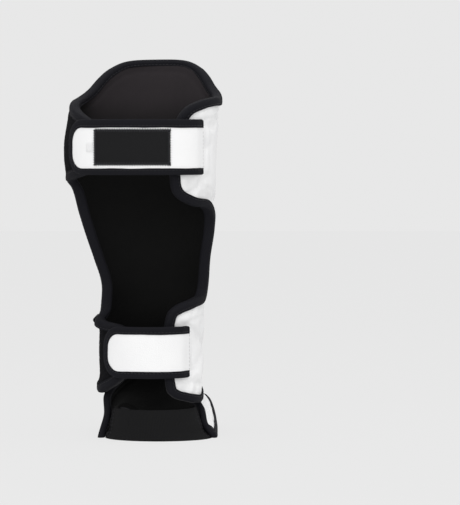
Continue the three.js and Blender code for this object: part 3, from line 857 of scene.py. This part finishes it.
def pile_outline(wing):
    """The shell's outline round a wing, closed by a straight edge down the leather."""
    angle, height = shell_outline.T
    wing_edge = shell_outline[(angle < wing["edge"]) & (height > wing["low"]) & (height < wing["high"])]
    jumps = np.linalg.norm(np.diff(wing_edge, axis=0), axis=1)
    if jumps.max() > 4 * OUTLINE_STEP:
        wing_edge = np.roll(wing_edge, -np.argmax(jumps) - 1, axis=0)
    start, end = wing_edge[0, 1], wing_edge[-1, 1]
    upright = np.arange(min(start, end), max(start, end), OUTLINE_STEP)
    upright = upright if end < start else upright[::-1]
    return np.concatenate((wing_edge, np.stack((0 * upright + wing["edge"], upright), -1)))


pile_cloth = loop_pile()
for pile_name, wing in PILES.items():
    pile, pattern = cut_panel(pile_name, pile_outline(wing), leg_point, PILE_CELL, PILE_TUCK)
    face, edge_way = shin_face(pattern)
    base = face + PILE_GAP - PILE_SUNK * (1 - eased(edge_way, PILE_TUCK, PILE_TUCK + PILE_SLOPE))
    nap = np.random.default_rng(7).normal(size=len(pattern)).clip(-PILE_NAP_LIMIT, PILE_NAP_LIMIT)
    lay_flat(
        pile,
        pattern * (DEGREE_LENGTH, 1),
        leg_point(*pattern.T, base),
        leg_point(*pattern.T, base + PILE_THICKNESS + PILE_NAP * nap),
    )
    finished(pile, pile_cloth, "black_pile", pile_name)

# Instep lining and pad: the tongue over the foot, brushed cloth and leather over foam as on the shell, with
# ears that stand on the floor beside the heel and a tip that droops to the floor in front. Both are cut flat
# and bent over three arches: the rear, the middle and the toe.
INSTEP_REAR = [
    (-57, -14, -4.5), (-48.5, -13, 25), (-49.5, -7, 48.8), (-31, 37, 68.5), (1, 53, 80), (31.5, 35, 59),
    (54.5, -4, 33), (58.6, -12.5, 12), (70, -14, -3),
]
INSTEP_MIDDLE = [
    (-51, 52, -2), (-42, 56, 28), (-30, 66, 37), (-14, 78, 39), (6, 84, 40), (24, 76, 41), (40, 64, 41),
    (55, 54, 37), (74, 52, 3),
]
INSTEP_TOE = [
    (-46, 118, -1), (-42, 123, 0), (-31, 130, 0), (-9, 136, -2.6), (16, 138, -3.2), (44, 136, -2.6),
    (70, 130, 2), (81, 123, 2), (87, 118, -1),
]
INSTEP_HALF_ARC = 100.0
INSTEP_LENGTH = 110.0
INSTEP_RIDGE_ARC = 25.0
INSTEP_EAR_ARC = 75.0
INSTEP_EDGE_THICKNESS = 3.0
INSTEP_THICKNESS = 15.0
EAR_THICKNESS = 6.5
# The right half of its outline on a flat pattern of arc by length, from the ridge's rear to its tip.
INSTEP_HALF_OUTLINE = [
    (0, 0), (50, 0), (88, 0.5), (98.5, 3), (99, 14), (97.5, 30), (93, 48), (83, 65), (68, 80), (50, 92.5),
    (27, 102.5), (0, 107),
]
INSTEP_CELL = 2.2
INSTEP_SLOPE_STEP = 6.0


def arch(rows, share):
    """A curve through the rows of a table, with its knots set by the root of their distances."""
    rows = np.array(rows, float)
    rows = np.concatenate((2 * rows[:1] - rows[1:2], rows, 2 * rows[-1:] - rows[-2:-1]))
    place = np.clip(share, 0, 1) * (len(rows) - 3)
    row = np.minimum(place.astype(int), len(rows) - 4)
    t = (place - row)[:, None]
    before, start, end, after = (rows[row + k] for k in range(4))

    def gap(a, b):
        return np.sqrt(np.linalg.norm(b - a, axis=1, keepdims=True))

    first, middle, last = gap(before, start), gap(start, end), gap(end, after)
    chord = (end - start) / middle
    leave = ((start - before) / first - (end - before) / (first + middle) + chord) * middle
    arrive = (chord - (after - start) / (middle + last) + (after - end) / last) * middle
    cubic = 2 * start - 2 * end + leave + arrive
    square = 3 * end - 3 * start - 2 * leave - arrive
    return ((cubic * t + square) * t + leave) * t + start


def instep_face(arc, length):
    """The instep's surface through its rear, middle and toe arches."""
    side = (arc / INSTEP_HALF_ARC + 1) / 2
    t = (length / INSTEP_LENGTH)[:, None]
    place = arch(INSTEP_REAR, side) * (1 - t) * (1 - 2 * t)
    place = place + arch(INSTEP_MIDDLE, side) * 4 * t * (1 - t)
    return place + arch(INSTEP_TOE, side) * t * (2 * t - 1) + LEG_AXIS


def instep_point(arc, length, depth):
    """The point at an arc and length on the instep, that far outside the lining's inner face."""
    step = INSTEP_SLOPE_STEP
    along = instep_face(arc + step, length) - instep_face(arc - step, length)
    forward = instep_face(arc, length + step) - instep_face(arc, length - step)
    normal = unit(np.cross(along, forward))
    return instep_face(arc, length) + normal * np.broadcast_to(depth, arc.shape)[:, None]


def on_floor(piece):
    """Flattens what of a piece would sink into the floor."""
    places = points_of(piece)
    places[:, 2] = np.maximum(places[:, 2], 0)
    move_points(piece, places)


left_half = [(-arc, length) for arc, length in reversed(INSTEP_HALF_OUTLINE[1:-1])]
instep_outline = even_loop(closed_curve(INSTEP_HALF_OUTLINE + left_half), instep_point, OUTLINE_STEP)

instep_lining, instep_pattern = cut_panel(
    "instep_lining", instep_outline, instep_point, INSTEP_CELL, PANEL_TUCK
)
lay_lining(instep_lining, instep_pattern, instep_point, instep_outline)
finished(instep_lining, lining_cloth, "black_lining", "instep_lining")

instep_pad, tongue_pattern = cut_panel("instep_pad", instep_outline, instep_point, INSTEP_CELL, PANEL_TUCK)
thin = eased(np.abs(tongue_pattern[:, 0]), INSTEP_RIDGE_ARC, INSTEP_EAR_ARC)
full = INSTEP_THICKNESS + (EAR_THICKNESS - INSTEP_THICKNESS) * thin
tongue_face, tongue_way = crown(tongue_pattern, instep_outline, instep_point, INSTEP_EDGE_THICKNESS, full)
tongue_sewn = (tongue_way < TAPE_HOLD) | (np.abs(tongue_way - SEAM_INSET) < INSTEP_CELL / 2)
stuff_pad(instep_pad, tongue_pattern, instep_point, tongue_face, tongue_way, tongue_sewn, instep_leather)
finished(instep_pad, leather, "white_leather", "instep_pad")

# Instep binding: the same woven tape folded over the tongue's edge and sewn through all the way round, and
# pressed flat where it stands on the floor.
instep_binding = bind_edge("instep_binding", instep_outline, instep_point, INSTEP_EDGE_THICKNESS, seed=12)
on_floor(instep_binding)
finished(instep_binding, tape_cloth, "black_tape", "instep_binding")
sew_tape("instep_binding_stitches", instep_outline, instep_point, INSTEP_EDGE_THICKNESS, black_thread)

# Calf straps: two layers of white synthetic leather, sewn on the right wing's outside and closed over the
# pile on the left wing. Each is straight across its width and rounded at its tip.
STRAP_THICKNESS = 3.0
STRAP_CELL = 2.0
STRAP_TUCK = 5.0
DIP_LENGTH = 16.0
STRAPS = {
    "upper_strap": {
        "base": 124.0, "length": 175.5, "height": 330.0, "half": 30.8, "corner": 25.0, "radius": 86.0,
        "stand_off": 16.0, "base_dip": 3.3, "tip_dip": 1.2, "high_tape": 9.4, "low_tape": 7.4,
    },
    "lower_strap": {
        "base": 131.0, "length": 107.5, "height": 100.0, "half": 29.0, "corner": 24.0, "radius": 58.0,
        "stand_off": 17.0, "base_dip": 4.3, "tip_dip": 2.2, "high_tape": 8.6, "low_tape": 7.8,
    },
}


def strap_point(strap, along, up, depth):
    """The point on a strap that far along it, up from its middle and out from its inner face."""
    angle = strap["base"] + np.degrees(along / strap["radius"])
    height = np.full(along.shape, strap["height"])
    sunk = strap["base_dip"] * (1 - eased(along, 0, DIP_LENGTH))
    sunk = sunk + strap["tip_dip"] * eased(along, strap["length"] - 3 * DIP_LENGTH, strap["length"])
    places = leg_point(angle, height, strap["stand_off"] + depth - sunk)
    places[:, 2] += up
    return places


def strap_out(strap, along, up):
    """The way out of a strap's face at those places."""
    return strap_point(strap, along, up, 1) - strap_point(strap, along, up, 0)


def strap_half(strap, along, inset):
    """Half the strap's height there, rounded off towards its tip."""
    round_off = strap["corner"] - inset
    past = np.clip(along - (strap["length"] - strap["corner"]), 0, round_off)
    return strap["half"] - inset - round_off + np.sqrt(round_off**2 - past**2)


for strap_name, strap in STRAPS.items():
    columns = int(strap["length"] / STRAP_CELL)
    rows = int(2 * strap["half"] / STRAP_CELL)
    core, share = cut_sheet(strap_name, columns, rows)
    along = np.sin(share[:, 0] * math.pi / 2) * (strap["length"] - STRAP_TUCK)
    up = (2 * share[:, 1] - 1) * strap_half(strap, along, STRAP_TUCK)
    lay_flat(
        core,
        np.stack((along, up), -1),
        strap_point(strap, along, up, 0),
        strap_point(strap, along, up, STRAP_THICKNESS),
    )
    finished(core, leather, "white_leather", strap_name)

# Strap bindings: the same black tape round each strap's long edges and tip, its ends left open at the
# base, with a row of stitches near its inner edge.
STRAP_TAPE_WIDTH = 8.0
STRAP_TAPE_THICKNESS = 4.4
STRAP_TAPE_STITCH = 5.9
STRAP_TAPE_STEP = 1.0
STRAP_TAPE_END = 1.2
STRAP_TAPE_END_FULLNESS = 0.001
STRAP_TAPE_CORNER = 4.0
STRAP_TAPE_PUCKER_LENGTH = 31.0
# The tape's section, from the inner edge of its leg side round the fold to its outside: how far in from the
# strap's edge, and how far above the tape's underside.
STRAP_TAPE_SECTION = [
    (8.0, 0.5), (7.9, 0.06), (7.0, 0.0), (4.0, 0.0), (1.3, 0.15), (0.1, 1.0), (-0.2, 2.2), (0.1, 3.4),
    (1.3, 4.25), (3.6, 4.4), (4.8, 4.4), (STRAP_TAPE_STITCH, 4.1), (7.0, 4.4), (7.9, 4.34), (8.0, 3.9),
]
# How far out of the strap's inner face each row of stitches lies.
STRAP_TAPE_SEAMS = {"outside": STRAP_THICKNESS + 0.6, "leg_side": -0.7}
BASE_STITCHES_AT = 1.1
BASE_SEAM_POINTS = 40


def strap_path(strap):
    """Stations along a strap's edge, up one side, round the tip and back, and the ways in from it."""
    straight = strap["length"] - strap["corner"]
    corner = strap["corner"]
    flat = strap["half"] - corner
    turn = np.linspace(0, math.pi / 2, int(corner * math.pi / 2 / STRAP_TAPE_STEP))
    side = np.linspace(0, straight, int(straight / STRAP_TAPE_STEP), endpoint=False)
    along = np.concatenate((side, straight + corner * np.sin(turn)))
    up = np.concatenate((np.full(len(side), strap["half"]), flat + corner * np.cos(turn)))
    into_along = np.concatenate((0 * side, -np.sin(turn)))
    into_up = np.concatenate((-1 + 0 * side, -np.cos(turn)))
    tip = np.linspace(1, -1, int(2 * flat / STRAP_TAPE_STEP))[1:-1]
    along = np.concatenate((along, np.full(len(tip), strap["length"]), along[::-1]))
    up = np.concatenate((up, flat * tip, -up[::-1]))
    into_along = np.concatenate((into_along, np.full(len(tip), -1.0), into_along[::-1]))
    into_up = np.concatenate((into_up, 0 * tip, -into_up[::-1]))
    return along, up, into_along, into_up


strap_tape = closed_curve(STRAP_TAPE_SECTION, pieces=3)
strap_tape[:, 1] -= (STRAP_TAPE_THICKNESS - STRAP_THICKNESS) / 2
strap_tape_girth = 2 * STRAP_TAPE_WIDTH + STRAP_TAPE_THICKNESS
for strap_name, strap in STRAPS.items():
    along, up, into_along, into_up = strap_path(strap)
    from_end = np.minimum(np.arange(len(along)), np.arange(len(along))[::-1]) * STRAP_TAPE_STEP
    # The section closes to its middle at the tape's two ends, and the ends' corners are rounded off.
    fullness = np.clip(from_end / STRAP_TAPE_END, STRAP_TAPE_END_FULLNESS, 1)
    fullness = np.sqrt(1 - (1 - fullness) ** 2)[:, None, None]
    middle = strap_tape.mean(0)
    section = middle + (strap_tape - middle) * fullness
    near_end = np.clip(STRAP_TAPE_CORNER - from_end, 0, STRAP_TAPE_CORNER)
    corner = STRAP_TAPE_CORNER - np.sqrt(STRAP_TAPE_CORNER**2 - near_end**2)
    wide = strap["low_tape"] + (strap["high_tape"] - strap["low_tape"]) * (up / strap["half"] + 1) / 2
    wide = wide / STRAP_TAPE_WIDTH
    inset = np.maximum(section[..., 0] * wide[:, None], corner[:, None])
    pull = wave(np.stack((along, up, 0 * up), -1), STRAP_TAPE_PUCKER_LENGTH, seed=21) * TAPE_PUCKER
    inset = inset + pull[:, None] * (strap_tape[None, :, 0] > TAPE_PUCKER_FROM)
    places = strap_point(
        strap,
        (along[:, None] + inset * into_along[:, None]).ravel(),
        (up[:, None] + inset * into_up[:, None]).ravel(),
        section[..., 1].ravel(),
    )
    rings = places.reshape(len(along), len(strap_tape), 3)
    run = len(along) * STRAP_TAPE_STEP
    band = sweep(strap_name + "_binding", rings, run, strap_tape_girth, closed=False)
    finished(band, tape_cloth, "black_tape", strap_name + "_binding")
    seam_along = along + STRAP_TAPE_STITCH * wide * into_along
    seam_up = up + STRAP_TAPE_STITCH * wide * into_up
    for side, rise in STRAP_TAPE_SEAMS.items():
        seam = strap_point(strap, seam_along, seam_up, rise)
        away = strap_out(strap, along, up) * np.sign(rise)
        sew(f"{strap_name}_stitches_{side}", seam, away, black_thread, closed=False)
    # A row of grey stitches across the strap's base, partly painted shade: their grey stands in for the
    # shadow gap at the base's edge.
    up = np.linspace(strap["low_tape"] - strap["half"], strap["half"] - strap["high_tape"], BASE_SEAM_POINTS)
    along = np.full(len(up), BASE_STITCHES_AT)
    seam = strap_point(strap, along, up, STRAP_THICKNESS)
    away = strap_out(strap, along, up)
    sew(strap_name + "_base_stitches", seam, away, shade_grey_thread, closed=False, slot="white_leather")

# Strap patch and size tag: a black woven patch with an overlocked edge in the middle of the upper strap,
# left plain, and a small white satin tag beside it.
PATCH = {"start": 49.0, "length": 83.4, "half": 19.5, "thickness": 1.2}
TAG = {"start": 134.9, "length": 8.4, "half": 5.1, "thickness": 0.8}
LABEL_CELL = 1.0
LABEL_GAP = 0.05
LABEL_LIFT = 0.1
LABEL_EDGE_SHARE = 0.45
LABEL_EDGE_WIDTH = 1.6
# The threads over the patch's edge: from low outside it to high on it, slanted along its long sides.
OVERLOCK = {
    "pitch": 2.7, "length": 3.0, "radius": 0.8, "outside": 1.2, "low": 0.5, "proud": 0.2, "slant": 0.5,
}


def woven_patch():
    """Plain black damask: a fine diagonal twill with a slight silky shine."""
    cloth = Finish("woven_patch", Specular_IOR_Level=0.12)
    x = cloth.pattern.part("X")
    y = cloth.pattern.part("Y")
    twill = (x + y).rows(0.9)
    picks = y.rows(0.35)
    slub = cloth.pattern.stretched(1, 14, 1).noise(60, 3, 0.6)
    colour = (twill * 0.4 + slub * 0.6).mix((0.004, 0.004, 0.0046), (0.0115, 0.0115, 0.0125))
    return cloth.shade(colour, slub.between(0.5, 0.72), twill * 0.7 + picks * 0.3, 0.16)


def satin_tag():
    """White satin ribbon with a fine weave."""
    ribbon = Finish("satin_tag", Specular_IOR_Level=0.5)
    weave = ribbon.pattern.part("Y").rows(0.4)
    wear = ribbon.places.noise(300, 3, 0.6)
    colour = wear.mix((0.76, 0.76, 0.77), (0.86, 0.86, 0.86))
    return ribbon.shade(colour, wear.between(0.38, 0.55), weave, 0.08)


def sew_label(name, label, material, slot):
    """A label laid on the upper strap, its edges pressed down."""
    strap = STRAPS["upper_strap"]
    piece, share = cut_sheet(name, int(label["length"] / LABEL_CELL), int(2 * label["half"] / LABEL_CELL))
    along = label["start"] + share[:, 0] * label["length"]
    up = (2 * share[:, 1] - 1) * label["half"]
    to_end = np.minimum(share[:, 0], 1 - share[:, 0]) * label["length"]
    to_edge = np.minimum(to_end, label["half"] - np.abs(up))
    full = LABEL_EDGE_SHARE + (1 - LABEL_EDGE_SHARE) * eased(to_edge, 0, LABEL_EDGE_WIDTH)
    lay_flat(
        piece,
        np.stack((along, up), -1),
        strap_point(strap, along, up, STRAP_THICKNESS + LABEL_GAP),
        strap_point(strap, along, up, STRAP_THICKNESS + LABEL_LIFT + label["thickness"] * full),
    )
    finished(piece, material, slot, name)


sew_label("strap_patch", PATCH, woven_patch(), "black_woven")
sew_label("size_tag", TAG, satin_tag(), "white_tag")

left, right = PATCH["start"], PATCH["start"] + PATCH["length"]
across = np.arange(left, right, OVERLOCK["pitch"])
upright = np.arange(-PATCH["half"], PATCH["half"], OVERLOCK["pitch"])
edge_along = np.concatenate((across, 0 * upright + right, across[::-1], 0 * upright + left))
edge_up = np.concatenate((0 * across + PATCH["half"], upright[::-1], 0 * across - PATCH["half"], upright))
to_along = np.concatenate((0 * across, 0 * upright - 1, 0 * across, 0 * upright + 1))
to_up = np.concatenate((0 * across - 1, 0 * upright, 0 * across + 1, 0 * upright))


def on_patch(inset, rise):
    """Points in from the patch's edge, above the strap's face."""
    slant = OVERLOCK["slant"] * np.abs(to_up) * inset / OVERLOCK["length"]
    along = edge_along + inset * to_along + slant
    return strap_point(STRAPS["upper_strap"], along, edge_up + inset * to_up, STRAP_THICKNESS + rise)


lay_threads(
    "strap_patch_overlock",
    on_patch(-OVERLOCK["outside"], OVERLOCK["low"]),
    on_patch(OVERLOCK["length"], PATCH["thickness"] + OVERLOCK["proud"]),
    strap_out(STRAPS["upper_strap"], edge_along, edge_up),
    black_thread,
    OVERLOCK["radius"],
    "black_woven",
)

# Foot elastic: wide black ribbed elastic from one ear of the tongue round behind the heel to the other,
# its ends sewn inside the ears.
ELASTIC_HEIGHT = 35.0
ELASTIC_THICKNESS = 2.0
ELASTIC_SEWN_AT = -6.0
ELASTIC_BEHIND = -50.0
ELASTIC_ROWS = np.array(
    [(0, 7.6, 61.2), (8, 5.4, 54.4), (16, 4.6, 52.4), (ELASTIC_HEIGHT, 3.0, 47.2)],
    dtype=[("height", float), ("middle", float), ("half_width", float)],
)
ELASTIC_RIBS = 92
ELASTIC_RIB_STEPS = 5
ELASTIC_RIB_DEPTH = 0.16
ELASTIC_CELLS_UP = 18
SELVEDGE_DEPTH = 0.3
SELVEDGE_FROM = 0.88
# Rows of stitches across the band's ends, by their share along it, each a little short of its edges.
ELASTIC_STITCHES = {
    "elastic_left_stitches": 0.06,
    "elastic_left_inner_stitches": 0.105,
    "elastic_right_inner_stitches": 0.895,
    "elastic_right_stitches": 0.94,
}
ELASTIC_SEAM_REACH = np.linspace(0.05, 0.95, 40)
ELASTIC_SEAM_PROUD = 0.1


def ribbed_elastic():
    """Black elastic: rubber cords in rows under a knitted cover, greyer on the ribs."""
    knit = Finish("ribbed_elastic", Specular_IOR_Level=0.1)
    rib = knit.pattern.part("X").rows(1 / MM / ELASTIC_RIBS)
    courses = knit.pattern.part("Y").rows(0.8)
    dust = knit.places.noise(120, 4, 0.6)
    tone = rib * 0.4 + courses * 0.2 + dust * 0.4
    colour = tone.mix((0.0050, 0.0050, 0.0053), (0.0120, 0.0120, 0.0127))
    return knit.shade(colour, dust.between(0.7, 0.92), rib * 0.5 + courses * 0.5, 0.2)


def elastic_point(share, depth):
    """A point on the band, by its shares along and up it, that far in from its outer face."""
    turn = math.pi * (share[:, 0] - 0.5)
    height = ELASTIC_HEIGHT * share[:, 1]
    middle = smooth(height, ELASTIC_ROWS["height"], ELASTIC_ROWS["middle"])
    half = smooth(height, ELASTIC_ROWS["height"], ELASTIC_ROWS["half_width"])
    x = middle + (half - depth) * np.sin(turn)
    y = ELASTIC_SEWN_AT + (ELASTIC_BEHIND + depth - ELASTIC_SEWN_AT) * np.cos(turn)
    return np.stack((x, y, height), -1) + LEG_AXIS


foot_elastic, share = cut_sheet("foot_elastic", ELASTIC_RIBS * ELASTIC_RIB_STEPS, ELASTIC_CELLS_UP)
rib = ELASTIC_RIB_DEPTH * (0.5 + 0.5 * np.cos(share[:, 0] * 2 * math.pi * ELASTIC_RIBS))
selvedge = SELVEDGE_DEPTH * eased(np.abs(2 * share[:, 1] - 1), SELVEDGE_FROM, 1)
lay_flat(
    foot_elastic,
    share * (1 / MM, ELASTIC_HEIGHT),
    elastic_point(share, rib + selvedge),
    elastic_point(share, ELASTIC_THICKNESS - rib - selvedge),
)
finished(foot_elastic, ribbed_elastic(), "black_elastic", "foot_elastic")
for row_name, place in ELASTIC_STITCHES.items():
    share = np.stack((0 * ELASTIC_SEAM_REACH + place, ELASTIC_SEAM_REACH), -1)
    seam = elastic_point(share, -ELASTIC_SEAM_PROUD)
    away = elastic_point(share, -1) - elastic_point(share, 0)
    sew(row_name, seam, away, black_thread, closed=False, slot="black_elastic")
